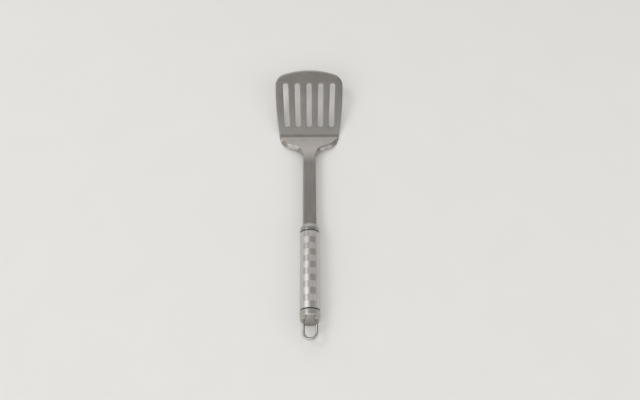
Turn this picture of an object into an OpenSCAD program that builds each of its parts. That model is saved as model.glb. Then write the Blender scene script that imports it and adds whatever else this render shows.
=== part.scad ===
/* [Handle] */
// Outer diameter of the round handle
handle_d = 20; // [18:0.5:26]
// Length of the chequered sleeve
sleeve_len = 83.5; // [60:0.5:120]
// Wall of the sleeve
sleeve_wall = 1.2; // [0.8:0.1:1.6]
// Radial clearance between a spigot and the sleeve
spigot_clear = 0.1; // [0.05:0.05:0.2]
// Depth of each spigot inside the sleeve
spigot_len = 8; // [6:0.5:12]

/* [Seal rings] */
// Width of a seal ring along the handle
seal_w = 1.2; // [0.8:0.1:2]
// How far a seal ring lies below the handle's surface
seal_inset = 0.3; // [0.1:0.1:0.6]
// Clearance between a seal ring and the spigot inside it
seal_clear = 0.05; // [0.02:0.01:0.1]

/* [Collar] */
// Straight part of the collar, between its seal ring and its half-ball front
collar_straight = 1.7; // [1:0.1:6]

/* [End cap] */
// Length of the cap's round part
cap_len = 6.4; // [5:0.2:10]
// Bevel on the rim of the cap's round part
cap_bevel = 0.4; // [0.2:0.1:0.8]
// Length of the lug's cheeks behind the round part
cheek_len = 5; // [4:0.2:7]
// Radius of the cheeks' rear edge
cheek_round = 3.5; // [2:0.1:4]
// Width of the tongue between the loop's legs
tongue_w = 9.6; // [8:0.2:11]
// Radius of the tongue's round end, seen from the side
tongue_r = 8; // [7:0.1:8.4]
// Width and depth of the chamfer round the tongue's end
tongue_chamfer = [1.6, 0.6]; // [0:0.1:2]

/* [Hanging loop] */
// Diameter of the loop's wire
wire_d = 2.8; // [2:0.1:3.2]
// Distance from the pivot to the loop's outer end
loop_len = 17.3; // [15:0.1:30]
// Side gap between a leg and the tongue
leg_clear = 0.25; // [0.2:0.05:0.5]
// Distance from the round part's end to the pivot
pivot_set = 4.8; // [4.2:0.1:5.4]
// Room between a leg, swung square to the handle, and the floor of its slot
floor_clear = 0.3; // [0.2:0.1:1]
// Radial clearance of the wire ends in the cross bore
pivot_clear = 0.08; // [0.04:0.01:0.1]
// Reach of each wire end into the tongue
stub_len = 3.6; // [2.5:0.1:4]

/* [Sheet] */
// Thickness of the blade's sheet
sheet_t = 1.5; // [1:0.1:2]
// Width of the shank
shank_w = 14.4; // [12:0.2:15]
// Height of the shank's channel section
shank_h = 4; // [3.2:0.2:5]
// Length of the straight shank in front of the collar
shank_len = 75; // [50:0.5:110]

/* [Neck] */
// Angle at which the neck goes down to the heel
neck_slope = 20; // [16:1:26]
// Radius of the upper neck bend
neck_r = 75; // [40:1:80]
// Radius inside the heel bend
heel_r = 9; // [6:0.5:12]
// Radius of the heel's rear corners
heel_corner_r = 22; // [16:0.5:25]
// Radius where the heel runs into the shank
heel_fillet_r = 19; // [8:0.5:22]

/* [Blade] */
// Length of the flat blade from the heel bend to the front
blade_len = 81; // [76:0.5:100]
// Greatest width of the blade
blade_w = 80; // [77:0.5:90]
// How far each side draws in from the widest place to the heel
blade_taper = 5.25; // [3:0.25:9]
// Angle of the blade to the handle
blade_pitch = 18; // [10:1:26]
// Radius of the front corners
front_corner_r = 15; // [9:0.5:18]
// Radius of the curved front edge
front_r = 91; // [80:1:140]
// Width of the ground bevel along the front edge
bevel_w = 2; // [1:0.1:3]
// Thickness left at the ground front edge
edge_t = 0.7; // [0.4:0.1:0.9]

/* [Slots] */
// Number of slots
slot_count = 5; // [1:1:5]
// Width of a slot
slot_w = 6.3; // [4.5:0.1:8]
// Distance from the heel bend to the slots
slot_set = 9.2; // [6:0.2:14]
// Distance from the slots to the middle of the front edge
slot_front = 16.8; // [14:0.2:30]
// Distance from the outer slots, at mid length, to the widest part of the blade's sides
slot_side = 9.85; // [7:0.05:12]
// Angle between neighbouring slots
slot_fan = 1.2; // [0:0.1:1.6]

/* [Tie rod] */
// Diameter of the tie rod's thread
rod_d = 5; // [4:0.5:6]
// Diameter of the tie rod's front end
rod_head_d = 8; // [7:0.5:10]
// Radial clearance of the thread in the cap
thread_clear = 0.05; // [0.02:0.01:0.1]
// Depth of the thread in the cap
thread_len = 9; // [6:0.5:11]
// Room past the end of the thread
thread_room = 1; // [0.5:0.1:2]
// Width of the tang
tang_w = 8; // [6:0.2:9]
// Length of the tang behind the collar's spigot
tang_len = 15; // [12:0.5:20]
// Diameter of the rivets
rivet_d = 2.5; // [2:0.1:3]
// Diameter of a rivet's heads
rivet_head_d = 4.4; // [3.6:0.1:5]
// Height of a rivet's heads
rivet_head_h = 1; // [0.6:0.1:1.4]
// Clearance round a rivet and between brazed faces
join_clear = 0.05; // [0.03:0.01:0.1]

/* [Hidden] */
$fn = 96;

// Every cut runs past its solid by this much
over = handle_d / 20;
// Flats in each bend of the sheet and in each rounded corner of the heel
bend_steps = 18;
corner_steps = 20;

// Heights above the surface that the turner rests on
axis_z = handle_d / 2;
shank_top = axis_z + shank_h / 2;
web_low = shank_top - sheet_t;
flange_low = axis_z - shank_h / 2;

// Neck, seen from the side: a long bend down, a straight slope and the tight heel bend
neck_run = neck_r * sin(neck_slope);
neck_drop = neck_r * (1 - cos(neck_slope));
heel_rise = heel_r * (1 - cos(neck_slope));
slope_drop = shank_top - neck_drop - sheet_t - heel_rise;
slope_run = slope_drop / tan(neck_slope);
heel_run = heel_r * sin(neck_slope);

// Blade, seen from the side
lift_run = heel_r * sin(blade_pitch);
lift_rise = heel_r * (1 - cos(blade_pitch));
blade_run = blade_len * cos(blade_pitch) + sheet_t * sin(blade_pitch);
collar_len = collar_straight + handle_d / 2;

total_len = loop_len + pivot_set + cap_len + seal_w + sleeve_len + seal_w + collar_len + shank_len
    + neck_run + slope_run + heel_run + lift_run + blade_run;

// Places along the turner, from the hanging loop to the blade
pivot_y = loop_len - total_len / 2;
step_y = pivot_y + pivot_set;
cap_y = step_y + cap_len;
sleeve_y = cap_y + seal_w;
ring_y = sleeve_y + sleeve_len;
collar_y = ring_y + seal_w;
shank_y = collar_y + collar_len;
neck_y = shank_y + shank_len;
slope_y = neck_y + neck_run;
heel_y = slope_y + slope_run + heel_run;
blade_y = heel_y + lift_run;
blade_z = sheet_t + lift_rise;

// Inside the handle
spigot_r = handle_d / 2 - sleeve_wall - spigot_clear;
channel_end_y = collar_y - spigot_len;
tang_end_y = channel_end_y - tang_len;
thread_end_y = cap_y + spigot_len - thread_len;
rivet_grip = [flange_low, shank_top];
rivet_shares = [0.3, 0.75];
rivet_ys = [for (share = rivet_shares) channel_end_y - share * tang_len];

// Hanging loop
leg_x = tongue_w / 2 + leg_clear + wire_d / 2;
slot_out_x = leg_x + wire_d / 2 + leg_clear;
slot_floor_y = pivot_y + wire_d / 2 + floor_clear;
bend_y = pivot_y - loop_len + wire_d / 2 + leg_x;

// Slots, spread evenly between the blade's sides
slot_len = blade_len - slot_set - slot_front;
slot_pitch = (blade_w - 2 * slot_side - slot_w) / max(slot_count - 1, 1);

// Blade outline: front corners touch the sides and the curved front edge, and the sides are wide arcs
corner_x = blade_w / 2 - front_corner_r;
front_mid = blade_len - front_r;
corner_s = front_mid + sqrt(pow(front_r - front_corner_r, 2) - pow(corner_x, 2));
heel_w = blade_w - 2 * blade_taper;
side_r = (pow(corner_s, 2) + pow(blade_taper, 2)) / (2 * blade_taper);
front_ray = [corner_x, corner_s - front_mid] / norm([corner_x, corner_s - front_mid]);

// Heel outline, seen from above: round corners, then fillets into the shank
heel_corner_x = heel_w / 2 - heel_corner_r;
fillet_x = shank_w / 2 + heel_fillet_r;
fillet_y = blade_y - sqrt(pow(heel_corner_r + heel_fillet_r, 2) - pow(fillet_x - heel_corner_x, 2));
fillet_angle = atan2(fillet_y - blade_y, fillet_x - heel_corner_x);

// Turns a shape drawn round +Z so that it lies round the handle's axis and runs along +Y
module on_axis(y) {
    translate([0, y, axis_z]) rotate([-90, 0, 0]) children();
}

// Sweeps a side view, drawn as [y, z], across the turner's width
module across(width) {
    rotate([90, 0, 90]) translate([0, 0, -width / 2]) linear_extrude(width) children();
}

// Points of an arc about a centre
function arc(centre, r, from, to, steps) =
    [for (i = [0 : steps]) let (a = from + (to - from) * i / steps) centre + r * [cos(a), sin(a)]];

// The same points from last to first
function backwards(points) = [for (i = [1 : len(points)]) points[len(points) - i]];

// Line along the bent sheet, seen from the side as [y, z], at a depth below its top face
function sheet_line(depth, front) = concat(
    [[channel_end_y, shank_top - depth]],
    arc([neck_y, shank_top - neck_r], neck_r - depth, 90, 90 - neck_slope, bend_steps),
    arc([heel_y, sheet_t + heel_r], heel_r + depth, 270 - neck_slope, 270 + blade_pitch, bend_steps),
    front == 0 ? [] : [[blade_y, blade_z] + front * [cos(blade_pitch), sin(blade_pitch)]
                       + depth * [sin(blade_pitch), -cos(blade_pitch)]]);

// Side view of the bent sheet, from its top face to a depth below it
module side_band(depth, front) {
    polygon(concat(sheet_line(0, front), backwards(sheet_line(depth, front))));
}

// Right half of the heel and shank from above, drawn in by inset all along its side
function heel_side(inset) = concat(
    [[heel_w / 2 - inset, blade_y + over]],
    arc([heel_corner_x, blade_y], heel_corner_r - inset, 0, fillet_angle, corner_steps),
    arc([fillet_x, fillet_y], heel_fillet_r + inset, 180 + fillet_angle, 180, corner_steps),
    [[shank_w / 2 - inset, channel_end_y - over]]);

module heel_outline(inset) {
    right = heel_side(inset);
    polygon(concat(right, [for (point = backwards(right)) [-point[0], point[1]]]));
}

// Outline of the flat blade, with the heel bend's front end at y = 0
module blade_outline() {
    intersection() {
        translate([blade_w / 2 - side_r, corner_s]) circle(r = side_r, $fn = 720);
        translate([side_r - blade_w / 2, corner_s]) circle(r = side_r, $fn = 720);
        translate([-blade_w / 2, 0]) square([blade_w, corner_s]);
    }
    intersection() {
        translate([0, front_mid]) circle(r = front_r, $fn = 360);
        polygon([[-corner_x, corner_s - over], [corner_x, corner_s - over], [corner_x, corner_s],
                 [corner_x, corner_s] + 2 * front_corner_r * front_ray, [0, blade_len + front_corner_r],
                 [-corner_x, corner_s] + 2 * front_corner_r * [-front_ray[0], front_ray[1]],
                 [-corner_x, corner_s]]);
    }
    for (side = [-1, 1]) translate([side * corner_x, corner_s]) circle(r = front_corner_r);
}

// One drain slot with round ends, about its own middle
module slot_outline() {
    straight = slot_len - slot_w;
    square([slot_w, straight], center = true);
    for (end = [-1, 1]) translate([0, end * straight / 2]) circle(d = slot_w);
}

// Cuts in the flat blade, in its own plane with its top face at z = 0
module blade_cuts() {
    for (i = [0 : slot_count - 1]) {
        place = i - (slot_count - 1) / 2;
        translate([place * slot_pitch, slot_set + slot_len / 2, -sheet_t - over])
            rotate([0, 0, -place * slot_fan]) linear_extrude(sheet_t + 2 * over) slot_outline();
    }
    // The front edge is ground from above, so its bevel is a cone about the front arc's centre
    translate([0, front_mid, 0]) rotate_extrude($fn = 360)
        polygon([[front_r - bevel_w, 0], [front_r + bevel_w, 2 * (edge_t - sheet_t)],
                 [front_r + bevel_w, over], [front_r - bevel_w, over]]);
}

// Turns a shape drawn in the flat blade's own plane to its place
module on_blade() {
    translate([0, blade_y, blade_z]) rotate([blade_pitch, 0, 0]) children();
}

// One stamping: slotted blade, flanged heel and neck, channel shank and flat tang. The heel's sheet runs a little
// way into the flat blade, which joins them.
module turner_blade() {
    color("silver") difference() {
        union() {
            intersection() {
                across(blade_w) side_band(sheet_t, blade_len + over);
                on_blade() translate([0, 0, -blade_z - over])
                    linear_extrude(blade_z + 2 * over) blade_outline();
            }
            intersection() {
                across(blade_w) side_band(sheet_t, over / 2);
                translate([0, 0, -over]) linear_extrude(shank_top + 2 * over) heel_outline(0);
            }
            intersection() {
                across(blade_w) side_band(shank_h, 0);
                linear_extrude(shank_top + over) difference() {
                    heel_outline(0);
                    heel_outline(sheet_t);
                    translate([-blade_w / 2, heel_y]) square([blade_w, blade_len]);
                }
            }
            translate([-tang_w / 2, tang_end_y, web_low]) cube([tang_w, tang_len + over, sheet_t]);
        }
        on_blade() blade_cuts();
        for (y = rivet_ys) translate([0, y, flange_low]) cylinder(d = rivet_d + 2 * join_clear, h = shank_h + over);
    }
}

// Domed collar: its slot follows the shank's channel, so its mouth is closed round the sheet
module front_collar() {
    color("silver") difference() {
        on_axis(collar_y) rotate_extrude() {
            translate([0, -spigot_len]) square([spigot_r, spigot_len + collar_straight]);
            square([handle_d / 2, collar_straight]);
            intersection() {
                translate([0, collar_straight]) circle(d = handle_d);
                square([handle_d / 2, collar_len]);
            }
        }
        translate([0, shank_y + over, 0]) rotate([90, 0, 0])
            linear_extrude(collar_len + spigot_len + 2 * over) difference() {
                translate([-shank_w / 2 - join_clear, flange_low - join_clear])
                    square([shank_w + 2 * join_clear, shank_h + 2 * join_clear]);
                translate([sheet_t - shank_w / 2 + join_clear, flange_low - over])
                    square([shank_w - 2 * sheet_t - 2 * join_clear, web_low - flange_low + over - join_clear]);
            }
    }
}

// Black ring between the sleeve and a cap
module seal_ring(y) {
    on_axis(y) rotate_extrude() translate([spigot_r + seal_clear, 0])
        square([handle_d / 2 - seal_inset - spigot_r - seal_clear, seal_w]);
}

module front_seal_ring() {
    color("black") seal_ring(ring_y);
}

module rear_seal_ring() {
    color("black") seal_ring(cap_y);
}

// Plain tube: the squares on it are a finish and not a shape
module handle_sleeve() {
    color("lightgray") on_axis(sleeve_y) difference() {
        cylinder(d = handle_d, h = sleeve_len);
        translate([0, 0, -over]) cylinder(r = handle_d / 2 - sleeve_wall, h = sleeve_len + 2 * over);
    }
}

// End cap: round part with a threaded spigot
module end_cap() {
    color("silver") difference() {
        on_axis(step_y) rotate_extrude() polygon([
            [0, 0], [handle_d / 2 - cap_bevel, 0], [handle_d / 2, cap_bevel], [handle_d / 2, cap_len],
            [spigot_r, cap_len], [spigot_r, cap_len + spigot_len], [0, cap_len + spigot_len]]);
        on_axis(thread_end_y - thread_room)
            cylinder(d = rod_d + 2 * thread_clear, h = thread_len + thread_room + over);
    }
}

// Lug brazed on the cap: a round-ended tongue between two cheeks, which are slotted for the loop's legs
module loop_lug() {
    color("silver") {
        difference() {
            translate([0, step_y, axis_z]) rotate([0, 90, 0]) rotate_extrude() polygon([
                [0, -tongue_w / 2], [tongue_r - tongue_chamfer[1], -tongue_w / 2],
                [tongue_r, tongue_chamfer[0] - tongue_w / 2], [tongue_r, tongue_w / 2 - tongue_chamfer[0]],
                [tongue_r - tongue_chamfer[1], tongue_w / 2], [0, tongue_w / 2]]);
            translate([-handle_d / 2, step_y, axis_z - handle_d / 2]) cube(handle_d);
            translate([-handle_d / 2, pivot_y, axis_z]) rotate([0, 90, 0])
                cylinder(d = wire_d + 2 * pivot_clear, h = handle_d);
        }
        for (side = [0, 1]) mirror([side, 0, 0]) difference() {
            on_axis(step_y) rotate([180, 0, 0]) cheek_body();
            translate([-handle_d, step_y - cheek_len - over, axis_z - handle_d / 2 - over])
                cube([handle_d + tongue_w / 2 + join_clear, cheek_len + 2 * over, handle_d + 2 * over]);
            translate([0, step_y - cheek_len - over, axis_z - handle_d / 2 - over])
                cube([slot_out_x, slot_floor_y - step_y + cheek_len + over, handle_d + 2 * over]);
        }
    }
}

// Cheeks before they are slotted: a disc with its rear edge rounded
module cheek_body() {
    rotate_extrude() {
        square([handle_d / 2, cheek_len - cheek_round]);
        square([handle_d / 2 - cheek_round, cheek_len]);
        translate([handle_d / 2 - cheek_round, cheek_len - cheek_round]) intersection() {
            circle(r = cheek_round);
            square(cheek_round);
        }
    }
}

// Wire bail: two legs, a half-round end, and ends bent in to turn in the tongue's cross bore
module hanging_loop() {
    color("silver") translate([0, 0, axis_z]) {
        for (side = [0, 1]) mirror([side, 0, 0]) {
            translate([leg_x, bend_y, 0]) rotate([-90, 0, 0])
                cylinder(d = wire_d, h = pivot_y - bend_y);
            translate([tongue_w / 2 - stub_len, pivot_y, 0]) rotate([0, 90, 0])
                cylinder(d = wire_d, h = stub_len + leg_clear + wire_d / 2);
            translate([leg_x, pivot_y, 0]) sphere(d = wire_d);
        }
        translate([0, bend_y, 0]) intersection() {
            rotate_extrude($fn = 128) translate([leg_x, 0]) circle(d = wire_d, $fn = 48);
            translate([-handle_d, -handle_d, -wire_d]) cube([2 * handle_d, handle_d, 2 * wire_d]);
        }
    }
}

// Tie rod: threaded at the cap, flattened at the front where the tang lies on it
module tie_rod() {
    color("gray") difference() {
        union() {
            on_axis(thread_end_y) cylinder(d = rod_d, h = tang_end_y - thread_end_y);
            intersection() {
                on_axis(tang_end_y - rod_head_d / 2) cylinder(d = rod_head_d, h = tang_len + rod_head_d / 2);
                union() {
                    translate([-rod_head_d / 2, tang_end_y - rod_head_d / 2, axis_z - rod_head_d / 2])
                        cube([rod_head_d, rod_head_d / 2 - join_clear, rod_head_d]);
                    translate([-rod_head_d / 2, tang_end_y - rod_head_d / 2, flange_low])
                        cube([rod_head_d, tang_len + rod_head_d / 2 - join_clear, web_low - flange_low]);
                }
            }
        }
        for (y = rivet_ys) translate([0, y, flange_low - over])
            cylinder(d = rivet_d + 2 * join_clear, h = shank_h + 2 * over);
    }
}

// Two rivets through the tang and the flattened rod
module tang_rivets() {
    color("gray") for (y = rivet_ys) translate([0, y, 0]) rotate_extrude() polygon([
        [0, rivet_grip[0] - rivet_head_h], [rivet_head_d / 2 - rivet_head_h / 2, rivet_grip[0] - rivet_head_h],
        [rivet_head_d / 2, rivet_grip[0] - rivet_head_h / 2], [rivet_head_d / 2, rivet_grip[0]],
        [rivet_d / 2, rivet_grip[0]], [rivet_d / 2, rivet_grip[1]], [rivet_head_d / 2, rivet_grip[1]],
        [rivet_head_d / 2, rivet_grip[1] + rivet_head_h / 2],
        [rivet_head_d / 2 - rivet_head_h / 2, rivet_grip[1] + rivet_head_h], [0, rivet_grip[1] + rivet_head_h]]);
}

turner_blade();
front_collar();
front_seal_ring();
handle_sleeve();
rear_seal_ring();
end_cap();
loop_lug();
hanging_loop();
tie_rod();
tang_rivets();
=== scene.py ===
import bmesh
import bpy
import numpy as np
from mathutils import Matrix, Vector


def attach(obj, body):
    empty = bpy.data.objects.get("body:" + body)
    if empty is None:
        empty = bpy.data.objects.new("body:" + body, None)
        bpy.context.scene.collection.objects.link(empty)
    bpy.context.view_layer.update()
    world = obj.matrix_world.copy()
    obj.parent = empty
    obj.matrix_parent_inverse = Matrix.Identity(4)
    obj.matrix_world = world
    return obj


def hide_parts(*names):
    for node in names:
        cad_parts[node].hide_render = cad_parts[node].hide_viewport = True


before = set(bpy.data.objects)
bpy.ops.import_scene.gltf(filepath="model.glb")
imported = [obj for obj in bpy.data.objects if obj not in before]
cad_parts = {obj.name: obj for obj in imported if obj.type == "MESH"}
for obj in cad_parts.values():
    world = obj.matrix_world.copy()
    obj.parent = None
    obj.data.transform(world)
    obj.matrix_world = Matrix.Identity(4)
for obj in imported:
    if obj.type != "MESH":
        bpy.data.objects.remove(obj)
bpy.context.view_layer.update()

mm = 0.001
axisZ = 10.0  # height of the handle's axis, mm
mergeWithin, dropBelow = 2e-6, 1e-6  # points this near are one, and edges this short go, in metres
scene = bpy.context.scene


# Small tools for meshes and materials

def linear(hexColour):
    # sRGB hex to the linear colour that a shader reads
    parts = [int(hexColour[i:i + 2], 16) / 255 for i in (1, 3, 5)]
    return [c / 12.92 if c <= 0.04045 else ((c + 0.055) / 1.055) ** 2.4 for c in parts] + [1.0]


def makePiece(name, grids, materials, sharpAngle, body, slot, *nodes):
    # Each grid is (points as rows x columns x 3 in mm, material index of its quads). Neighbours in a grid
    # make quads, and what coincides is merged, which closes the seams and the poles.
    points, quads, finishes, start = [], [], [], 0
    for grid, finish in grids:
        rows, columns = grid.shape[:2]
        index = start + np.arange(rows * columns).reshape(rows, columns)
        corners = [index[:-1, :-1], index[:-1, 1:], index[1:, 1:], index[1:, :-1]]
        quads.append(np.stack(corners, -1).reshape(-1, 4))
        finishes.append(np.broadcast_to(finish, (rows - 1, columns - 1)).reshape(-1))
        points.append(grid.reshape(-1, 3))
        start += rows * columns
    mesh = bpy.data.meshes.new(name)
    mesh.from_pydata((np.concatenate(points) * mm).tolist(), [], np.concatenate(quads).tolist())
    mesh.polygons.foreach_set("material_index", np.concatenate(finishes).astype(np.int32))
    work = bmesh.new()
    work.from_mesh(mesh)
    bmesh.ops.remove_doubles(work, verts=work.verts, dist=mergeWithin)
    bmesh.ops.dissolve_degenerate(work, edges=work.edges, dist=dropBelow)
    looseEdges = [edge for edge in work.edges if not edge.link_faces]
    bmesh.ops.delete(work, geom=looseEdges, context="EDGES")
    bmesh.ops.recalc_face_normals(work, faces=work.faces)
    openEdges = sum(1 for edge in work.edges if not edge.is_manifold)
    work.to_mesh(mesh)
    work.free()
    mesh.polygons.foreach_set("use_smooth", np.ones(len(mesh.polygons), bool))
    mesh.set_sharp_from_angle(angle=np.radians(sharpAngle))
    for material in materials:
        mesh.materials.append(material)
    piece = bpy.data.objects.new(name, mesh)
    scene.collection.objects.link(piece)
    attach(piece, body)
    if nodes:
        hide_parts(*nodes)
    print("made", name, len(mesh.polygons), "faces, open edges", openEdges)
    return piece


def fillInputs(node, inputs):
    # Each input is a value, or another node's output to link
    for key, value in dict(inputs).items():
        if isinstance(value, bpy.types.NodeSocket):
            node.id_data.links.new(value, node.inputs[key])
        else:
            node.inputs[key].default_value = value


def addNode(tree, kind, inputs=(), **settings):
    # One shader node with its settings, values and links
    node = tree.nodes.new(kind)
    for key, value in settings.items():
        setattr(node, key, value)
    fillInputs(node, inputs)
    return node


def smooth(x):
    # 0 below 0, 1 above 1, with an easy S between them
    x = np.clip(x, 0, 1)
    return x * x * (3 - 2 * x)


def blend(a, b, share):
    # From a at share 0 to b at share 1
    return a + (b - a) * share


def arc(centre, radius, start, end, steps):
    # Points of an arc about a centre, angles in degrees
    angle = np.radians(np.linspace(start, end, steps + 1))
    return np.stack([centre[0] + radius * np.cos(angle), centre[1] + radius * np.sin(angle)], -1)


# Camera, from a fit of the turner's edges to the photograph: place in mm, angles in degrees, lens in mm,
# clip distances in metres

cameraPlace = {
    "x": 1.0, "y": -333.2, "z": 574.1, "down": 60.03, "yaw": 1.81, "roll": 1.25, "lens": 33.84, "sensor": 36,
    "near": 0.01, "far": 50}


def placeCamera(place):
    down, yaw, roll = np.radians([place["down"], place["yaw"], place["roll"]])
    look = np.array([np.sin(yaw) * np.cos(down), np.cos(yaw) * np.cos(down), -np.sin(down)])
    right = np.cross(look, [0, 0, 1])
    right /= np.linalg.norm(right)
    up = np.cross(right, look)
    right, up = np.cos(roll) * right + np.sin(roll) * up, np.cos(roll) * up - np.sin(roll) * right
    camera = bpy.data.objects.new("camera", bpy.data.cameras.new("camera"))
    turn = Matrix(np.stack([right, up, -look], -1).tolist()).to_4x4()
    camera.matrix_world = Matrix.Translation(Vector((place["x"], place["y"], place["z"])) * mm) @ turn
    camera.data.lens = place["lens"]
    camera.data.sensor_width = place["sensor"]
    camera.data.clip_start = place["near"]
    camera.data.clip_end = place["far"]
    scene.collection.objects.link(camera)
    scene.camera = camera


placeCamera(cameraPlace)
print("camera placed")


# Materials

noiseSpan = {"From Min": 0.3, "From Max": 0.7}  # nearly all of the noise's values lie between these
markMm = 0.02  # height of the marks that working leaves


def newMaterial(name):
    # A material with its tree, its shader and the object's own coordinates
    material = bpy.data.materials.new(name)
    material.use_nodes = True
    tree = material.node_tree
    place = addNode(tree, "ShaderNodeTexCoord").outputs["Object"]
    return material, tree, tree.nodes["Principled BSDF"], place


def steel(name, look):
    # Stainless steel with a worked grain: noise pulled out along the way that the surface was worked, which
    # breaks up the reflections across it. Broad, faint clouds stand for handling.
    material, tree, shader, place = newMaterial(name)
    grainScale = [1 / (size * mm) for size in look["grainMm"]]
    stretch = addNode(tree, "ShaderNodeMapping", {"Vector": place, "Scale": grainScale})
    grain = addNode(tree, "ShaderNodeTexNoise", {
        "Vector": stretch.outputs[0], "Scale": 1.0, "Detail": 3.0, "Roughness": 0.6}).outputs["Fac"]
    cloudScale = 1 / (look["cloudMm"] * mm)
    cloud = addNode(tree, "ShaderNodeTexNoise", {
        "Vector": place, "Scale": cloudScale, "Detail": 3.0, "Roughness": 0.55}).outputs["Fac"]
    both = addNode(tree, "ShaderNodeMix", {"Factor": look["cloudShare"], "A": grain, "B": cloud}).outputs[0]
    share = addNode(tree, "ShaderNodeMapRange", {"Value": both, **noiseSpan}).outputs[0]
    tone = addNode(tree, "ShaderNodeMix", {
        "Factor": share, "A": linear(look["dark"]), "B": linear(look["light"])}, data_type="RGBA").outputs[2]
    rough = addNode(tree, "ShaderNodeMapRange", {
        "Value": both, **noiseSpan, "To Min": look["rough"][0], "To Max": look["rough"][1]}).outputs[0]
    bump = addNode(tree, "ShaderNodeBump", {
        "Height": grain, "Strength": look["bump"], "Distance": markMm * mm}).outputs[0]
    fillInputs(shader, {"Base Color": tone, "Roughness": rough, "Normal": bump, "Metallic": 1.0})
    return material


# Satin sheet stainless, belt brushed along its length: a soft grey sheen with faint long streaks
satinSheet = steel("satin_brushed_stainless", {
    "grainMm": (0.4, 24, 0.4), "cloudMm": 26, "cloudShare": 0.25,
    "dark": "#9F9A95", "light": "#BAB5B0", "rough": (0.28, 0.42), "bump": 0.4})
# The same sheet where its front edge was ground: a touch lighter, with short marks across the edge
groundEdge = steel("ground_stainless_edge", {
    "grainMm": (0.3, 3, 0.3), "cloudMm": 12, "cloudShare": 0.2,
    "dark": "#A8A49F", "light": "#B8B4AF", "rough": (0.3, 0.4), "bump": 0.3})
# Turned stainless of the cap and lug: fine rings round the handle under a satin sheen
turnedCap = steel("turned_satin_stainless", {
    "grainMm": (40, 0.28, 40), "cloudMm": 18, "cloudShare": 0.25,
    "dark": "#B0ADA8", "light": "#C6C3BE", "rough": (0.4, 0.46), "bump": 0.3})
# The collar's dome, polished less: the same rings on a greyer steel
domedCollar = steel("turned_grey_stainless", {
    "grainMm": (40, 0.28, 40), "cloudMm": 18, "cloudShare": 0.25,
    "dark": "#A29F9B", "light": "#B3B0AC", "rough": (0.3, 0.4), "bump": 0.3})
# Blasted steel of the tongue: dull and even
blastedLug = steel("blasted_stainless", {
    "grainMm": (0.2, 0.2, 0.2), "cloudMm": 6, "cloudShare": 0.3,
    "dark": "#8F8B87", "light": "#9C9995", "rough": (0.42, 0.5), "bump": 0.2})
# Drawn wire, polished: brighter and sharper reflections, faint marks along it
polishedWire = steel("polished_stainless_wire", {
    "grainMm": (0.4, 6, 0.4), "cloudMm": 9, "cloudShare": 0.3,
    "dark": "#B3B0AC", "light": "#C4C1BD", "rough": (0.18, 0.26), "bump": 0.12})
# Plain drawn bar for the hidden rod and rivets: dull grey with faint marks along the handle
plainRod = steel("plain_drawn_steel", {
    "grainMm": (0.5, 5, 0.5), "cloudMm": 8, "cloudShare": 0.4,
    "dark": "#8F8D8A", "light": "#A6A4A1", "rough": (0.38, 0.5), "bump": 0.2})


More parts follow.
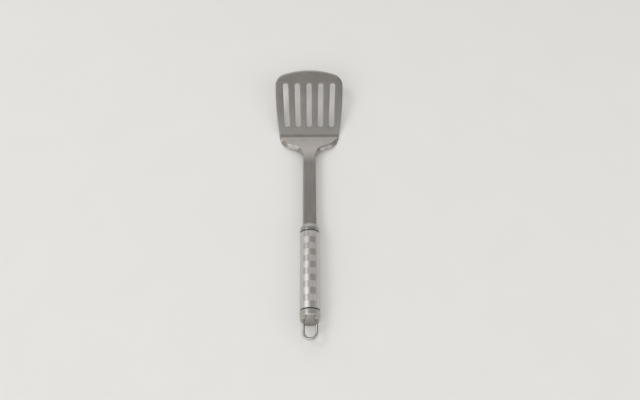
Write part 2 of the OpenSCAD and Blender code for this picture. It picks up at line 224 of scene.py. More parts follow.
def chequeredSteel(name, look):
    # Tube with squares brushed two ways, in two columns along its top and two along its underside, and plain
    # sides. A square's shade comes from whether its column plus its row is even or odd: column = (arctan(x /
    # height above the axis) + turn) / width, row = distance from the collar / a row's length. Past one column
    # from the middle it is plain.
    material, tree, shader, place = newMaterial(name)
    part = addNode(tree, "ShaderNodeSeparateXYZ", {"Vector": place}).outputs
    # Steps of the sum: name of the result, what is done, and to which numbers or earlier results. The rows
    # are counted from a number high enough to keep the sum above zero.
    results = {"x": part["X"], "y": part["Y"], "z": part["Z"]}
    steps = [
        ("up", "SUBTRACT", "z", axisZ * mm), ("ratio", "DIVIDE", "x", "up"), ("angle", "ARCTANGENT", "ratio"),
        ("turned", "ADD", "angle", np.radians(look["turn"])),
        ("column", "MULTIPLY", "turned", 1 / np.radians(look["width"])), ("columnCount", "FLOOR", "column"),
        ("behind", "SUBTRACT", look["frontY"] * mm, "y"),
        ("row", "MULTIPLY", "behind", 1 / (look["rowMm"] * mm)), ("rowCount", "FLOOR", "row"),
        ("rowUp", "ADD", "rowCount", look["countFrom"]), ("squareCount", "ADD", "columnCount", "rowUp"),
        ("odd", "MODULO", "squareCount", 2.0), ("aside", "ABSOLUTE", "column"),
        ("inBand", "LESS_THAN", "aside", 1.0), ("offMiddle", "SUBTRACT", "odd", 0.5),
        ("shown", "MULTIPLY", "offMiddle", "inBand"), ("parity", "ADD", "shown", 0.5)]
    for result, operation, *terms in steps:
        inputs = {i: results[term] if isinstance(term, str) else term for i, term in enumerate(terms)}
        results[result] = addNode(tree, "ShaderNodeMath", inputs, operation=operation).outputs[0]
    parity = results["parity"]
    # Grain along the tube, or round it, and both tones of each kind of square
    across, along, _ = look["grainMm"]
    grains = []
    for sizes in ((across, along, across), (along, across, along)):
        grainScale = [1 / (size * mm) for size in sizes]
        stretch = addNode(tree, "ShaderNodeMapping", {"Vector": place, "Scale": grainScale})
        grains.append(addNode(tree, "ShaderNodeTexNoise", {
            "Vector": stretch.outputs[0], "Scale": 1.0, "Detail": 3.0}).outputs["Fac"])
    grain = addNode(tree, "ShaderNodeMix", {"Factor": parity, "A": grains[0], "B": grains[1]}).outputs[0]
    shades = []
    for dark, light in (look["darkSquare"], look["lightSquare"]):
        tones = {"Factor": grain, "A": linear(dark), "B": linear(light)}
        shades.append(addNode(tree, "ShaderNodeMix", tones, data_type="RGBA").outputs[2])
    tone = addNode(tree, "ShaderNodeMix", {
        "Factor": parity, "A": shades[0], "B": shades[1]}, data_type="RGBA").outputs[2]
    # The grain moves each kind of square's roughness by half of grainRough either way
    lowest = [value - look["grainRough"] / 2 for value in look["rough"]]
    squareRough = addNode(tree, "ShaderNodeMapRange", {
        "Value": parity, "To Min": lowest[0], "To Max": lowest[1]}).outputs[0]
    rough = addNode(tree, "ShaderNodeMath", {
        0: grain, 1: look["grainRough"], 2: squareRough}, operation="MULTIPLY_ADD").outputs[0]
    bump = addNode(tree, "ShaderNodeBump", {
        "Height": grain, "Strength": look["bump"], "Distance": markMm * mm}).outputs[0]
    fillInputs(shader, {"Base Color": tone, "Roughness": rough, "Normal": bump, "Metallic": 1.0})
    return material


# Stainless tube with a masked, brushed chequer: matt squares in two tones, the darker ones brushed lengthways
chequeredTube = chequeredSteel("chequer_brushed_stainless", {
    "width": 38, "turn": 2.5, "frontY": -49.3201, "rowMm": 83.5 / 12, "countFrom": 101.0,
    "grainMm": (0.4, 6, 0.4), "darkSquare": ("#BCB8B4", "#C5C1BD"), "lightSquare": ("#D6D3CF", "#DFDCD8"),
    "rough": (0.42, 0.46), "grainRough": 0.12, "bump": 0.3})


def rubber(name, look):
    # Moulded rubber: near black, matt, with a fine even bloom
    material, tree, shader, place = newMaterial(name)
    bloom = addNode(tree, "ShaderNodeTexNoise", {
        "Vector": place, "Scale": 1 / (look["grainMm"] * mm), "Detail": 4.0}).outputs["Fac"]
    tone = addNode(tree, "ShaderNodeMix", {
        "Factor": bloom, "A": linear(look["dark"]), "B": linear(look["light"])}, data_type="RGBA").outputs[2]
    bump = addNode(tree, "ShaderNodeBump", {
        "Height": bloom, "Strength": look["bump"], "Distance": markMm * mm}).outputs[0]
    fillInputs(shader, {"Base Color": tone, "Roughness": look["rough"], "Normal": bump})
    return material


# Black rubber of the two rings: a dull dark line between the bright steels
sealRubber = rubber("moulded_black_rubber", {
    "grainMm": 0.25, "dark": "#0E0E0E", "light": "#1C1B1A", "rough": 0.55, "bump": 0.2})
print("materials made")


# Turner: one sheet, bent along its length and rolled down at the sides of the shank, neck and heel. Lengths
# are in mm and angles in degrees. s runs along the sheet's top face, and y along the handle.

sheet = {
    "thick": 1.5, "top": 12.0, "rearY": -56.1201, "neckY": 38.5799, "neckR": 75.0, "slope": 20.0,
    "slopeRun": 14.9303, "heelR": 9.0, "pitch": 18.0, "heelY": 82.2399, "bladeY": 85.021, "shankHalf": 7.2,
    "filletR": 19.0, "filletAt": (26.2, 46.2899), "filletEnd": -70.849,
    "cornerR": 22.0, "cornerAt": (12.75, 85.021), "bladeHalf": 40.0, "sideR": 366.015, "cornerS": 61.7705,
    "frontCornerR": 15.0, "frontCornerX": 25.0, "frontR": 91.0, "frontMid": -10.0}
# The sheet's edge. What is called wide is the band round the heel's corners. Its slant stops lipRoom lips
# above the foot of the wall, and crowd sets the points of a roll closer where it starts.
rim = {
    "flange": 4.0, "inset": 3.0, "roll": 1.7, "edge": 0.7, "inner": 0.7, "lip": 0.3, "lipRoom": 1.3,
    "bevel": (2.0, 0.8), "groundRun": 14.0, "wideInset": 6.0, "wideRoll": 3.6, "wideFrom": 7.2,
    "wideBlend": 6.0, "wideEnd": 4.0, "wideFade": 8.0, "crease": 0.15, "crowd": 1.4}
slots = {"count": 5, "width": 6.3, "from": 9.2, "length": 55.0, "pitch": 13.5, "fan": 1.2, "edge": 0.4}
# How finely it is drawn: steps in mm, and numbers of points
fine = {
    "trace": 0.05, "trial": 8001, "trialEnd": 160, "shank": 600, "fillet": 300, "corner": 400, "side": 800,
    "frontCorner": 300, "front": 500, "average": 41, "row": 0.9, "slotGap": 0.3, "slotEnd": 11,
    "slotSide": 37, "roll": 13, "bend": 5, "bar": 5}


def bentLine(s):
    # The sheet's top face seen from the side: straight, neck arc, slope, heel arc, straight blade. Each
    # stretch has a constant curvature k, so over a length l, y grows by (sin(t + k l) - sin t) / k and z by
    # (cos t - cos(t + k l)) / k. A straight stretch has a k too small to show, and the blade has no end here.
    slope, pitch = np.radians([sheet["slope"], sheet["pitch"]])
    straight, endless = 1e-9, 1e3
    lengths = [sheet["neckY"] - sheet["rearY"], sheet["neckR"] * slope, sheet["slopeRun"] / np.cos(slope),
               sheet["heelR"] * (slope + pitch), endless]
    bends = [straight, -1 / sheet["neckR"], straight, 1 / sheet["heelR"], straight]
    y, z, tilt = sheet["rearY"] + np.zeros_like(s), sheet["top"] + np.zeros_like(s), np.zeros_like(s)
    start = 0.0
    for length, k in zip(lengths, bends):
        run = np.clip(s - start, 0, length)
        y = y + (np.sin(tilt + k * run) - np.sin(tilt)) / k
        z = z + (np.cos(tilt) - np.cos(tilt + k * run)) / k
        tilt = tilt + k * run
        start += length
    return y, z, tilt


def sheetPoint(x, s, depth):
    # A point of the sheet: x across, s along its top face, depth square to that face and down
    y, z, tilt = bentLine(s)
    return np.stack([np.broadcast_to(x, y.shape), y + depth * np.sin(tilt), z - depth * np.cos(tilt)], -1)


def sheetOutline():
    # Right side of the outline as (x, s), close set from the shank's rear to the middle of the front edge,
    # with its outward normals. The shank and heel are drawn from above, so their y is looked up as s.
    trial = np.linspace(0, fine["trialEnd"], fine["trial"])
    trialY = bentLine(trial)[0]
    bladeS = np.interp(sheet["bladeY"], trialY, trial)
    filletEnd, cornerX, cornerS = sheet["filletEnd"], sheet["frontCornerX"], sheet["cornerS"]
    shankY = np.linspace(sheet["rearY"], sheet["filletAt"][1], fine["shank"])
    above = np.concatenate([
        np.stack([np.full(len(shankY), sheet["shankHalf"]), shankY], -1),
        arc(sheet["filletAt"], sheet["filletR"], 180, 180 + filletEnd, fine["fillet"])[1:],
        arc(sheet["cornerAt"], sheet["cornerR"], filletEnd, 0, fine["corner"])[1:]])
    above[:, 1] = np.interp(above[:, 1], trialY, trial)
    side = np.linspace(0, cornerS, fine["side"])[1:]
    sideX = sheet["bladeHalf"] - sheet["sideR"] + np.sqrt(sheet["sideR"] ** 2 - (side - cornerS) ** 2)
    ray = np.degrees(np.arctan2(cornerS - sheet["frontMid"], cornerX))
    flat = np.concatenate([
        np.stack([sideX, side], -1),
        arc((cornerX, cornerS), sheet["frontCornerR"], 0, ray, fine["frontCorner"])[1:],
        arc((0, sheet["frontMid"]), sheet["frontR"], ray, 90, fine["front"])[1:]])
    flat[:, 1] += bladeS
    line = np.concatenate([above, flat])
    way = np.concatenate([[0], np.cumsum(np.linalg.norm(np.diff(line, axis=0), axis=1))])
    even = np.arange(0, way[-1], fine["trace"])
    line = np.stack([np.interp(even, way, line[:, i]) for i in (0, 1)], -1)
    # The heading is the angle from +s towards +x, averaged over a short run so that it turns evenly
    heading = np.unwrap(np.arctan2(*np.gradient(line, axis=0).T))
    width = fine["average"]
    padded = np.concatenate([np.full(width // 2, 0.0), heading, np.full(width // 2, -np.pi / 2)])
    heading = np.convolve(padded, np.ones(width) / width, "valid")
    return even, line, np.stack([np.cos(heading), -np.sin(heading)], -1), bladeS


def sheetRows():
    # Rows across the sheet, placed along the outline. Beside the slots they follow the slots' round ends, so
    # the slots' edges lie on them. The turned-down band is narrow along the shank and wide round the heel.
    way, line, normal, bladeS = sheetOutline()
    wideLine = (smooth((line[:, 0] - rim["wideFrom"]) / rim["wideBlend"])
                * smooth((bladeS + rim["wideEnd"] - line[:, 1]) / rim["wideFade"]))
    insetLine = blend(rim["inset"], rim["wideInset"], wideLine)
    innerLine = line - insetLine[:, None] * normal
    radius, edge = slots["width"] / 2, slots["edge"]
    rear, front = bladeS + slots["from"], bladeS + slots["from"] + slots["length"]
    turn = np.radians(np.linspace(0, 90, fine["slotEnd"]))
    endRows = (radius + edge) * (1 - np.cos(turn))
    middle = np.linspace(rear + radius, front - radius, fine["slotSide"])[1:-1]
    slotS = np.concatenate([rear - edge + endRows, middle, (front + edge - endRows)[::-1]])
    slotTurn = np.concatenate([turn, np.full(len(middle), np.pi / 2), np.pi - turn[::-1]])
    slotWay = np.interp(slotS, innerLine[:, 1], way)
    before = np.arange(0, slotWay[0] - fine["slotGap"], fine["row"])
    after = np.linspace(slotWay[-1], way[-1], int((way[-1] - slotWay[-1]) / fine["row"]))[1:]
    at = np.concatenate([before, slotWay, after])
    first, last = len(before), len(before) + len(slotWay) - 1

    def pick(values):
        return np.stack([np.interp(at, way, values[:, i]) for i in (0, 1)], -1)

    outer, outward, inner = pick(line), pick(normal), pick(innerLine)
    outward[-1] = (0, 1)
    inner[first:last + 1, 1] = slotS
    inner[-1, 0] = outer[-1, 0] = 0
    cornerStart = np.interp(bladeS + sheet["cornerS"], line[:, 1], way)
    return {
        "outer": outer, "outward": outward, "inner": inner, "inset": np.interp(at, way, insetLine)[:, None],
        "wide": np.interp(at, way, wideLine)[:, None], "slotS": slotS, "slotTurn": slotTurn,
        "ground": smooth((at - cornerStart) / rim["groundRun"])[:, None], "first": first, "last": last,
        "slotRear": rear, "slotFront": front}


def rimGrids(rows):
    # A profile of (inset, depth) carried along the outline: top face, rolled or ground edge, outer wall, lip,
    # inner wall, inner bend, underside. Along the shank the roll is round, a (1 - sin q) by d (1 - cos q).
    # Round the heel it is a slant with a soft crease, a (1 - u) by d times
    # (sqrt(u^2 + c^2) - c) / (sqrt(1 + c^2) - c).
    outer, outward, inner = rows["outer"], rows["outward"], rows["inner"]
    wide, ground, ends, thick = rows["wide"], rows["ground"], rows["inset"], sheet["thick"]
    y, z, tilt = bentLine(outer[:, 1])
    heelS = np.interp(sheet["heelY"], y, outer[:, 1])
    fall = np.where(outer[:, 1] < heelS, z / np.cos(tilt), thick)
    wall = np.clip(fall, thick, rim["flange"])[:, None]
    spare = wall - thick
    rolled = smooth(spare / (rim["flange"] - thick))
    roll = blend(rim["edge"], rim["roll"], rolled)
    deep = blend(rim["edge"], wall - rim["lipRoom"] * rim["lip"], rolled)
    across = blend(roll + (rim["wideRoll"] - rim["roll"]) * wide * rolled, rim["bevel"][0], ground)
    down = blend(blend(roll, deep, wide), rim["bevel"][1], ground)
    u = np.linspace(0, 1, fine["roll"])[None] ** rim["crowd"]
    quarter = u * np.pi / 2
    crease = rim["crease"]
    slant = (np.sqrt(u ** 2 + crease ** 2) - crease) / (np.sqrt(1 + crease ** 2) - crease)
    topA = blend(across * blend(1 - np.sin(quarter), 1 - u, wide), across * (1 - u), ground)
    topD = blend(down * blend(1 - np.cos(quarter), slant, wide), down * u, ground)
    few = np.linspace(0, np.pi / 2, fine["bend"])[None]
    lip = rim["lip"]
    lipA, lipD = lip * (1 - np.cos(few)) + 0 * wall, wall - lip + lip * np.sin(few)
    back = np.minimum(lip, spare / 2)
    backA, backD = thick - back * (1 - np.sin(few)), wall - back * (1 - np.cos(few))
    inside = np.minimum(rim["inner"], spare / 2)
    bendA, bendD = thick + inside * (1 - np.cos(few)), thick + inside * (1 - np.sin(few))
    bendA = bendA + (across - thick) * wide * rolled
    rimA = np.concatenate([ends, topA, lipA, backA, bendA, ends], 1)
    rimD = np.concatenate([0 * ends, topD, lipD, backD, bendD, thick + 0 * ends], 1)
    rimX = outer[:, :1] - rimA * outward[:, :1]
    rimS = outer[:, 1:] - rimA * outward[:, 1:]
    rimX[:, [0, -1]], rimS[:, [0, -1]] = inner[:, :1], inner[:, 1:]
    rimX[-1] = 0
    # Nothing hangs below the floor, except that the sheet keeps its thickness
    floorZ, floorTilt = bentLine(rimS)[1:]
    rimD = np.minimum(rimD, np.maximum(floorZ / np.cos(floorTilt), thick))
    right = sheetPoint(rimX, rimS, rimD)
    isGround = np.zeros((len(ends) - 1, rimA.shape[1] - 1), int)
    isGround[:, 1:fine["roll"]] = ground[:-1] > 0.5
    # The rim's open rear end is closed between the profile's outer and inner halves
    half = rimA.shape[1] // 2
    closing = np.stack([right[0, :half], right[0, ::-1][:half]], 0)
    mirror = np.array([-1, 1, 1])
    return [(right, isGround), (right * mirror, isGround), (closing, 0), (closing * mirror, 0)]


def slotAxes(s, rows):
    # x of each slot's axis at s: the axes fan out toward the front, about the middle of the slots' length
    order = np.arange(slots["count"]) - (slots["count"] - 1) / 2
    lean = np.tan(np.radians(order * slots["fan"]))
    return order * slots["pitch"] + lean * (s[..., None] - (rows["slotRear"] + rows["slotFront"]) / 2)


def barGrids(rows):
    # Flat of the sheet, in bars between the slots. Past the slots, the bars' edges meet on the slots' axes,
    # which draw together with the sheet's sides.
    reach, s = rows["inner"].T
    first, last = rows["first"], rows["last"]
    axes = slotAxes(s, rows)
    for past, near in ((slice(0, first), first), (slice(last + 1, None), last)):
        axes[past] = axes[near] * (reach[past] / reach[near])[:, None]
    halfWidth = np.zeros(len(s))
    halfWidth[first:last + 1] = (slots["width"] / 2 + slots["edge"]) * np.sin(rows["slotTurn"])
    lefts = np.concatenate([-reach[:, None], axes + halfWidth[:, None]], 1)
    rights = np.concatenate([axes - halfWidth[:, None], reach[:, None]], 1)
    share = np.linspace(0, 1, fine["bar"])
    grids = []
    for bar in range(slots["count"] + 1):
        x = blend(lefts[:, bar, None], rights[:, bar, None], share)
        barS = np.broadcast_to(s[:, None], x.shape)
        top, under = sheetPoint(x, barS, 0.0), sheetPoint(x, barS, sheet["thick"])
        grids += [(top, 0), (under, 0), (np.stack([top[0], under[0]], 0), 0)]
    return grids


def slotGrids(rows):
    # Wall of each slot, with its edges eased above and below: (offset, depth) carried round the slot
    radius, edge, thick, turn = slots["width"] / 2, slots["edge"], sheet["thick"], rows["slotTurn"]
    ease = np.linspace(0, np.pi / 2, fine["bend"])
    offset = np.concatenate([edge * (1 - np.sin(ease)), edge * (1 - np.cos(ease))])
    depth = np.concatenate([edge * (1 - np.cos(ease)), thick - edge + edge * np.sin(ease)])
    endCentre = np.where(turn < np.pi / 2, rows["slotRear"] + radius, rows["slotFront"] - radius)
    centre = np.where(np.isclose(turn, np.pi / 2), rows["slotS"], endCentre)
    s = centre[:, None] - (radius + offset) * np.cos(turn)[:, None]
    out = (radius + offset) * np.sin(turn)[:, None]
    axes = slotAxes(s, rows)
    return [(sheetPoint(axes[..., slot] + side * out, s, depth + 0 * s), 0)
            for slot in range(slots["count"]) for side in (-1, 1)]


tang = {"half": 4.0, "from": -71.1201, "to": -55.1, "low": 10.5, "high": 12.0, "round": 0.3}


def tangGrid():
    # Flat tang behind the channel, hidden in the handle: a rectangle with eased corners carried along y, and
    # drawn in to its middle at both ends
    corner = np.radians(np.concatenate([np.linspace(a, a + 90, fine["bend"]) for a in (0, 90, 180, 270)]))
    middleZ = (tang["high"] + tang["low"]) / 2
    centreX, centreZ = tang["half"] - tang["round"], (tang["high"] - tang["low"]) / 2 - tang["round"]
    x = np.repeat([1, -1, -1, 1], fine["bend"]) * centreX + tang["round"] * np.cos(corner)
    z = middleZ + np.repeat([1, 1, -1, -1], fine["bend"]) * centreZ + tang["round"] * np.sin(corner)
    x, z = np.append(x, x[0]), np.append(z, z[0])
    y = np.array([tang["from"]] * 2 + [tang["to"]] * 2)[:, None]
    scale = np.array([0, 1, 1, 0])[:, None]
    return np.stack([x * scale, y + 0 * x, middleZ + (z - middleZ) * scale], -1)


sheetAcross = sheetRows()
turnerGrids = rimGrids(sheetAcross) + barGrids(sheetAcross) + slotGrids(sheetAcross) + [(tangGrid(), 0)]
makePiece("turner_sheet", turnerGrids, [satinSheet, groundEdge], 19, "turner", "blade_steel", "turner_blade")


# Turned pieces of the handle, in mm

handle = {
    "r": 10.0, "spigot": 8.7, "collarY": -48.1201, "collarLength": 11.7, "dome": 10.0, "spigotLength": 8.0,
    "sleeveY": -132.8201, "sleeveLength": 83.5, "sleeveWall": 1.2, "ringY": -49.3201, "capRingY": -134.0201,
    "ring": 1.2, "ringInset": 0.3, "ringClear": 0.05, "stepY": -140.4201, "capBevel": (1.1, 0.85),
    "bore": 2.55, "boreY": -136.0201, "ease": 0.25, "smallEase": 0.1, "ringEase": 0.3, "spigotEase": 0.4,
    "around": 192, "arcPoints": 8, "arcPointsPerMm": 2}


def roundedProfile(corners):
    # Corners as (radius from the axis, y, rounding): each rounding is an arc that touches both sides of its
    # corner. Its points p = centre + (sin((1 - t) w) start + sin(t w) end) / sin w, for its spread w.
    corners = np.array(corners, float)
    points = corners[:, :2]
    before, after = np.roll(points, 1, 0) - points, np.roll(points, -1, 0) - points
    line = []
    for corner, a, b, r in zip(points, before, after, corners[:, 2]):
        if r == 0:
            line.append(corner[None])
            continue
        a, b = a / np.linalg.norm(a), b / np.linalg.norm(b)
        opening = np.arccos(np.clip(a @ b, -1, 1))
        centre = corner + (a + b) / np.linalg.norm(a + b) * r / np.sin(opening / 2)
        start = corner + a * r / np.tan(opening / 2) - centre
        end = corner + b * r / np.tan(opening / 2) - centre
        t = np.linspace(0, 1, int(handle["arcPoints"] + handle["arcPointsPerMm"] * r))[:, None]
        spread = np.pi - opening
        line.append(centre + (np.sin((1 - t) * spread) * start + np.sin(t * spread) * end) / np.sin(spread))
    line = np.concatenate(line)
    return np.concatenate([line, line[:1]])


def lathe(corners):
    # A closed profile turned about the handle's axis: x = r sin a, z = axis + r cos a
    profile = roundedProfile(corners)
    angle = np.linspace(0, 2 * np.pi, handle["around"] + 1)
    radius = profile[:, :1]
    return np.stack([radius * np.sin(angle), profile[:, 1:] + 0 * angle, axisZ + radius * np.cos(angle)], -1)


def collarProfile(h):
    front, rear = h["collarY"] + h["collarLength"], h["collarY"] - h["spigotLength"]
    return [(0, rear, 0), (h["spigot"], rear, h["spigotEase"]), (h["spigot"], h["collarY"], 0),
            (h["r"], h["collarY"], h["ease"]), (h["r"], front, h["dome"]), (0, front, 0)]


def capProfile(h):
    run, drop = h["capBevel"]
    front = h["capRingY"] + h["spigotLength"]
    return [(0, h["stepY"], 0), (h["r"] - drop, h["stepY"], h["smallEase"]),
            (h["r"], h["stepY"] + run, h["ringEase"]), (h["r"], h["capRingY"], h["ease"]),
            (h["spigot"], h["capRingY"], 0), (h["spigot"], front, h["spigotEase"]),
            (h["bore"], front, h["ringEase"]), (h["bore"], h["boreY"], 0), (0, h["boreY"], 0)]


def sleeveProfile(h):
    front, inner = h["sleeveY"] + h["sleeveLength"], h["r"] - h["sleeveWall"]
    return [(inner, h["sleeveY"], h["smallEase"]), (h["r"], h["sleeveY"], h["ease"]),
            (h["r"], front, h["ease"]), (inner, front, h["smallEase"])]


def ringProfile(h, rear):
    inner, outer, front = h["spigot"] + h["ringClear"], h["r"] - h["ringInset"], rear + h["ring"]
    return [(inner, rear, h["smallEase"]), (outer, rear, h["ringEase"]),
            (outer, front, h["ringEase"]), (inner, front, h["smallEase"])]


frontRing, rearRing = ringProfile(handle, handle["ringY"]), ringProfile(handle, handle["capRingY"])
for name, profile, material, sharpAngle, slot, node in (
        ("collar_body", collarProfile(handle), domedCollar, 30, "cap_steel", "front_collar"),
        ("cap_body", capProfile(handle), turnedCap, 30, "cap_steel", "end_cap"),
        ("sleeve_tube", sleeveProfile(handle), chequeredTube, 30, "chequered_steel", "handle_sleeve"),
        ("front_seal", frontRing, sealRubber, 40, "black_seal", "front_seal_ring"),
        ("rear_seal", rearRing, sealRubber, 40, "black_seal", "rear_seal_ring")):
    makePiece(name, [(lathe(profile), 0)], [material], sharpAngle, "turner", slot, node)


# Lug: a round-ended tongue with the cross bore, and a slotted cheek on each side

lug = {
    "half": 4.8, "r": 8.0, "crownR": 20.0, "bore": 1.48, "pivotY": -145.2201, "stepY": -140.4201, "ease": 0.3,
    "nose": 1.35, "blockIn": 4.85, "blockRun": (0.0, 3.1), "cheekIn": 8.1, "cheekLength": 5.0,
    "cheekRound": 3.5, "cheekR": 9.8, "crownPoints": 21, "easeSteps": 5, "nosePoints": 61, "flatPoints": 41,
    "cheekPoints": 33, "cheekCrowd": 1.5}


def tongueGrid():
    # A crowned profile of (radius about the step, x) carried round the nose, then along the flat on the cap.
    # The crown is R - c + sqrt(c^2 - x^2), and the nose is flattened, (|cos a|^n + |sin a|^n)^(-1/n) of the
    # radius. The side faces run in from the profile's ends to the bore.
    half, ease, crownR, n = lug["half"], lug["ease"], lug["crownR"], lug["nose"]
    across = np.linspace(-half + ease, half - ease, lug["crownPoints"])
    crown = np.stack([lug["r"] - crownR + np.sqrt(crownR ** 2 - across ** 2), across], -1)
    left, right = (crown[0, 0] - ease, crown[0, 1]), (crown[-1, 0] - ease, crown[-1, 1])
    profile = np.concatenate([
        arc(left, ease, -90, 0, lug["easeSteps"])[:-1], crown, arc(right, ease, 0, 90, lug["easeSteps"])[1:]])
    angle = np.radians(np.linspace(-90, 90, lug["nosePoints"]))
    flat = np.linspace(1, -1, lug["flatPoints"])[1:]
    nose = (np.abs(np.cos(angle)) ** n + np.abs(np.sin(angle)) ** n) ** (-1 / n)
    alongY = np.concatenate([nose * np.cos(angle), 0 * flat])
    alongZ = np.concatenate([nose * np.sin(angle), flat])
    y = lug["stepY"] - profile[:, :1] * alongY
    z = axisZ + profile[:, :1] * alongZ
    outer = np.stack([profile[:, 1:] + 0 * y, y, z], -1)
    toward = np.arctan2(z[0] - axisZ, y[0] - lug["pivotY"])
    boreY, boreZ = lug["pivotY"] + lug["bore"] * np.cos(toward), axisZ + lug["bore"] * np.sin(toward)
    bore = np.stack([0 * toward, boreY, boreZ], -1)
    leftBore, rightBore = bore - [half, 0, 0], bore + [half, 0, 0]
    return np.concatenate([rightBore[None], leftBore[None], outer, rightBore[None]])


def cheekGrid(side, inside, start, end):
    # Segments of a disc, cut off at x = inside and stacked along the handle, closer set toward the end. The
    # disc's radius falls over the rear edge's rounding, R = R0 - c + sqrt(c^2 - run^2), and a segment's arc
    # spans the angles +-acos(inside / R).
    share = np.linspace(0, 1, lug["cheekPoints"])
    run = blend(start, end, 1 - (1 - share) ** lug["cheekCrowd"])
    past = np.clip(run - (lug["cheekLength"] - lug["cheekRound"]), 0, lug["cheekRound"])
    radius = lug["cheekR"] - lug["cheekRound"] + np.sqrt(lug["cheekRound"] ** 2 - past ** 2)
    reach = np.arccos(np.clip(inside / radius, 0, 1))[:, None]
    turn = reach * np.linspace(-1, 1, lug["cheekPoints"])
    x = np.concatenate([radius[:, None] * np.cos(turn), inside + 0 * reach], 1)
    z = np.concatenate([radius[:, None] * np.sin(turn), -radius[:, None] * np.sin(reach)], 1)
    grid = np.stack([side * x, lug["stepY"] - run[:, None] + 0 * x, axisZ + z], -1)
    middles = grid.mean(1, keepdims=True) + 0 * grid
    return np.concatenate([middles[:1], grid, middles[-1:]])


def cheekGrids():
    # On each side, the block under the slot's floor and the wall outside the slot, which ends where the
    # rounded edge comes in to it
    edge = lug["cheekIn"] - lug["cheekR"] + lug["cheekRound"]
    wallEnd = lug["cheekLength"] - lug["cheekRound"] + np.sqrt(lug["cheekRound"] ** 2 - edge ** 2)
    grids = []
    for side in (-1, 1):
        grids.append((cheekGrid(side, lug["blockIn"], *lug["blockRun"]), 0))
        grids.append((cheekGrid(side, lug["cheekIn"], lug["blockRun"][1], wallEnd), 0))
    return grids


makePiece("lug_body", [(tongueGrid(), 1)] + cheekGrids(), [turnedCap, blastedLug], 28, "turner", "cap_steel",
          "loop_lug")


# Hanging loop: a wire carried along two legs and a half circle, its ends bent in to the lug's bore

loop = {
    "wire": 1.4, "legX": 6.45, "bendY": -154.6701, "pivotY": -145.2201, "stubX": 1.2, "bend": 1.6,
    "ease": 0.3, "stubPoints": 8, "bendSteps": 12, "legPoints": 15, "turnSteps": 40, "easePoints": 5,
    "around": 48}


def loopGrid():
    # Centre line in the plane z = axis: stub, small bend, leg, half circle, and the same back. Round it goes
    # a circle in the plane of the line's normal and +z, smaller at the wire's eased ends.
    legX, bend, pivotY, ease = loop["legX"], loop["bend"], loop["pivotY"], loop["ease"]
    stub = np.linspace(loop["stubX"] + ease, legX - bend, loop["stubPoints"])[:-1]
    leg = np.linspace(pivotY - bend, loop["bendY"], loop["legPoints"])[1:]
    right = np.concatenate([
        np.stack([stub, np.full(len(stub), pivotY)], -1),
        arc((legX - bend, pivotY - bend), bend, 90, 0, loop["bendSteps"]),
        np.stack([np.full(len(leg), legX), leg], -1),
        arc((0, loop["bendY"]), legX, 0, -90, loop["turnSteps"])[1:]])
    line = np.concatenate([right, (right * [-1, 1])[::-1][1:]])
    heading = np.gradient(line, axis=0)
    heading /= np.linalg.norm(heading, axis=1)[:, None]
    size = np.ones(len(line))
    turn = np.linspace(0, np.pi / 2, loop["easePoints"])
    lead = line[0] - heading[0] * ease * (1 - np.sin(turn))[:, None]
    trail = line[-1] + heading[-1] * ease * (1 - np.cos(turn))[:, None]
    eased = 1 - ease / loop["wire"] * (1 - np.sin(turn))
    easedBack = 1 - ease / loop["wire"] * (1 - np.cos(turn))
    line = np.concatenate([lead[:1], lead, line[1:-1], trail, trail[-1:]])
    atEnd = loop["easePoints"] + 1
    heading = np.concatenate([heading[:1].repeat(atEnd, 0), heading[1:-1], heading[-1:].repeat(atEnd, 0)])
    size = np.concatenate([[0], eased, size[1:-1], easedBack, [0]]) * loop["wire"]
    angle = np.linspace(0, 2 * np.pi, loop["around"] + 1)
    normal = np.stack([heading[:, 1], -heading[:, 0]], -1)
    x = line[:, :1] + size[:, None] * np.cos(angle) * normal[:, :1]
    y = line[:, 1:] + size[:, None] * np.cos(angle) * normal[:, 1:]
    z = axisZ + size[:, None] * np.sin(angle)
    return np.stack([x, y, z], -1)


makePiece("wire_loop", [(loopGrid(), 0)], [polishedWire], 40, "loop", "wire_steel", "hanging_loop")

for node in ("tie_rod", "tang_rivets"):
    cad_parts[node].data.materials.clear()
    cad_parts[node].data.materials.append(plainRod)
print("handle pieces made")


# Floor, world and lamps. A tone of the world is (where along its ramp, how bright). A lamp is its place and
# aim in metres, its width in metres and its power in watts.

stage = {
    "half": 30.0, "floor": ("#EEECE9", "#F2F0ED"), "mottleMm": 60, "rough": 0.85, "specular": 0.2,
    "back": [(0.0, 0.68), (0.33, 0.68), (0.43, 0.48), (0.5, 0.26), (0.545, 0.17), (0.62, 0.23), (0.69, 0.4),
             (0.74, 0.19), (0.785, 0.27), (0.835, 0.5), (0.9, 0.82), (0.94, 1.0), (1.0, 0.95)],
    "horizon": [(0.0, 0.66), (0.1, 0.6), (0.22, 0.0)], "warmth": 0.99, "level": 1.2, "lean": 0.3,
    "lamps": {
        "key": ((-1.25, 0.35, 1.5), (0, 0, 0), 0.85, 5.5),
        "front": ((-0.9, -1.3, 1.2), (0, 0, 0), 1.0, 3.5),
        "side": ((1.6, -0.4, 1.0), (0, 0.05, 0), 1.3, 4.4),
        "overhead": ((0, -0.75, 2.2), (0, 0.05, 0), 0.8, 4.5)}}


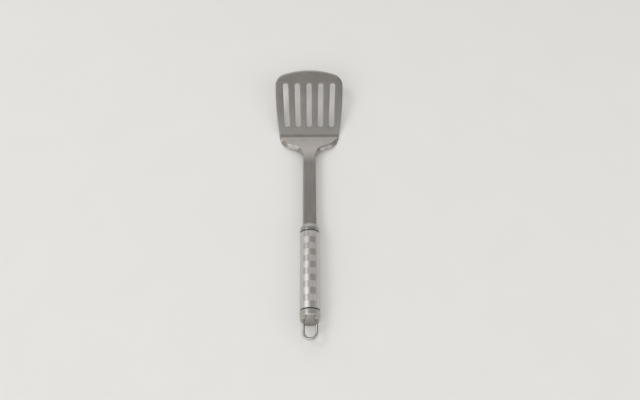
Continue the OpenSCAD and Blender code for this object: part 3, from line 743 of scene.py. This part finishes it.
def paleFloor():
    # Matt painted board: pale, with a barely seen mottle
    material, tree, shader, place = newMaterial("matt_painted_board")
    mottle = addNode(tree, "ShaderNodeTexNoise", {
        "Vector": place, "Scale": 1 / (stage["mottleMm"] * mm), "Detail": 4.0}).outputs["Fac"]
    dark, light = (linear(colour) for colour in stage["floor"])
    tone = addNode(tree, "ShaderNodeMix", {
        "Factor": mottle, "A": dark, "B": light}, data_type="RGBA").outputs[2]
    fillInputs(shader, {
        "Base Color": tone, "Roughness": stage["rough"], "Specular IOR Level": stage["specular"]})
    # From below it is clear, so that the underside can be looked at
    facing = addNode(tree, "ShaderNodeNewGeometry").outputs["Backfacing"]
    clear = addNode(tree, "ShaderNodeBsdfTransparent").outputs[0]
    both = addNode(tree, "ShaderNodeMixShader", {0: facing, 1: shader.outputs[0], 2: clear}).outputs[0]
    fillInputs(tree.nodes["Material Output"], {"Surface": both})
    size = stage["half"]
    corners = [(-size, -size, 0), (size, -size, 0), (size, size, 0), (-size, size, 0)]
    mesh = bpy.data.meshes.new("floor")
    mesh.from_pydata(corners, [], [(0, 1, 2, 3)])
    mesh.materials.append(material)
    floor = bpy.data.objects.new("floor", mesh)
    scene.collection.objects.link(floor)


def studioWorld():
    # A plain studio. One tone follows the direction's y, as (y + 1) / 2: pale on the camera's side and at the
    # back wall, greyer overhead and at the sides. The other follows z, and makes a pale band round the
    # horizon. The lighter one counts. The strength is level - lean x, so the left is lighter than the right.
    world = bpy.data.worlds.new("studio")
    world.use_nodes = True
    tree = world.node_tree
    place = addNode(tree, "ShaderNodeTexCoord").outputs["Generated"]
    part = addNode(tree, "ShaderNodeSeparateXYZ", {"Vector": place}).outputs
    along = addNode(tree, "ShaderNodeMath", {
        0: part["Y"], 1: 0.5, 2: 0.5}, operation="MULTIPLY_ADD").outputs[0]
    ramps = []
    for source, tones in ((along, stage["back"]), (part["Z"], stage["horizon"])):
        ramp = addNode(tree, "ShaderNodeValToRGB", {"Fac": source})
        stops = ramp.color_ramp.elements
        while len(stops) < len(tones):
            stops.new(0.5)
        for stop, (position, tone) in zip(stops, tones):
            stop.position = position
            stop.color = (tone, tone, tone * stage["warmth"], 1)
        ramps.append(ramp.outputs["Color"])
    both = addNode(tree, "ShaderNodeMix", {
        "Factor": 1.0, "A": ramps[0], "B": ramps[1]}, data_type="RGBA", blend_type="LIGHTEN").outputs[2]
    strength = addNode(tree, "ShaderNodeMath", {
        0: part["X"], 1: -stage["lean"], 2: stage["level"]}, operation="MULTIPLY_ADD").outputs[0]
    fillInputs(tree.nodes["Background"], {"Color": both, "Strength": strength})
    scene.world = world


def areaLamp(name, place, aim, width, power):
    lamp = bpy.data.lights.new(name, "AREA")
    lamp.shape = "DISK"
    lamp.size = width
    lamp.energy = power
    holder = bpy.data.objects.new(name, lamp)
    holder.rotation_euler = (Vector(aim) - Vector(place)).to_track_quat("-Z", "Y").to_euler()
    holder.location = place
    scene.collection.objects.link(holder)


paleFloor()
studioWorld()
for name, settings in stage["lamps"].items():
    areaLamp(name, *settings)
scene.view_settings.view_transform = "Standard"
print("stage set")
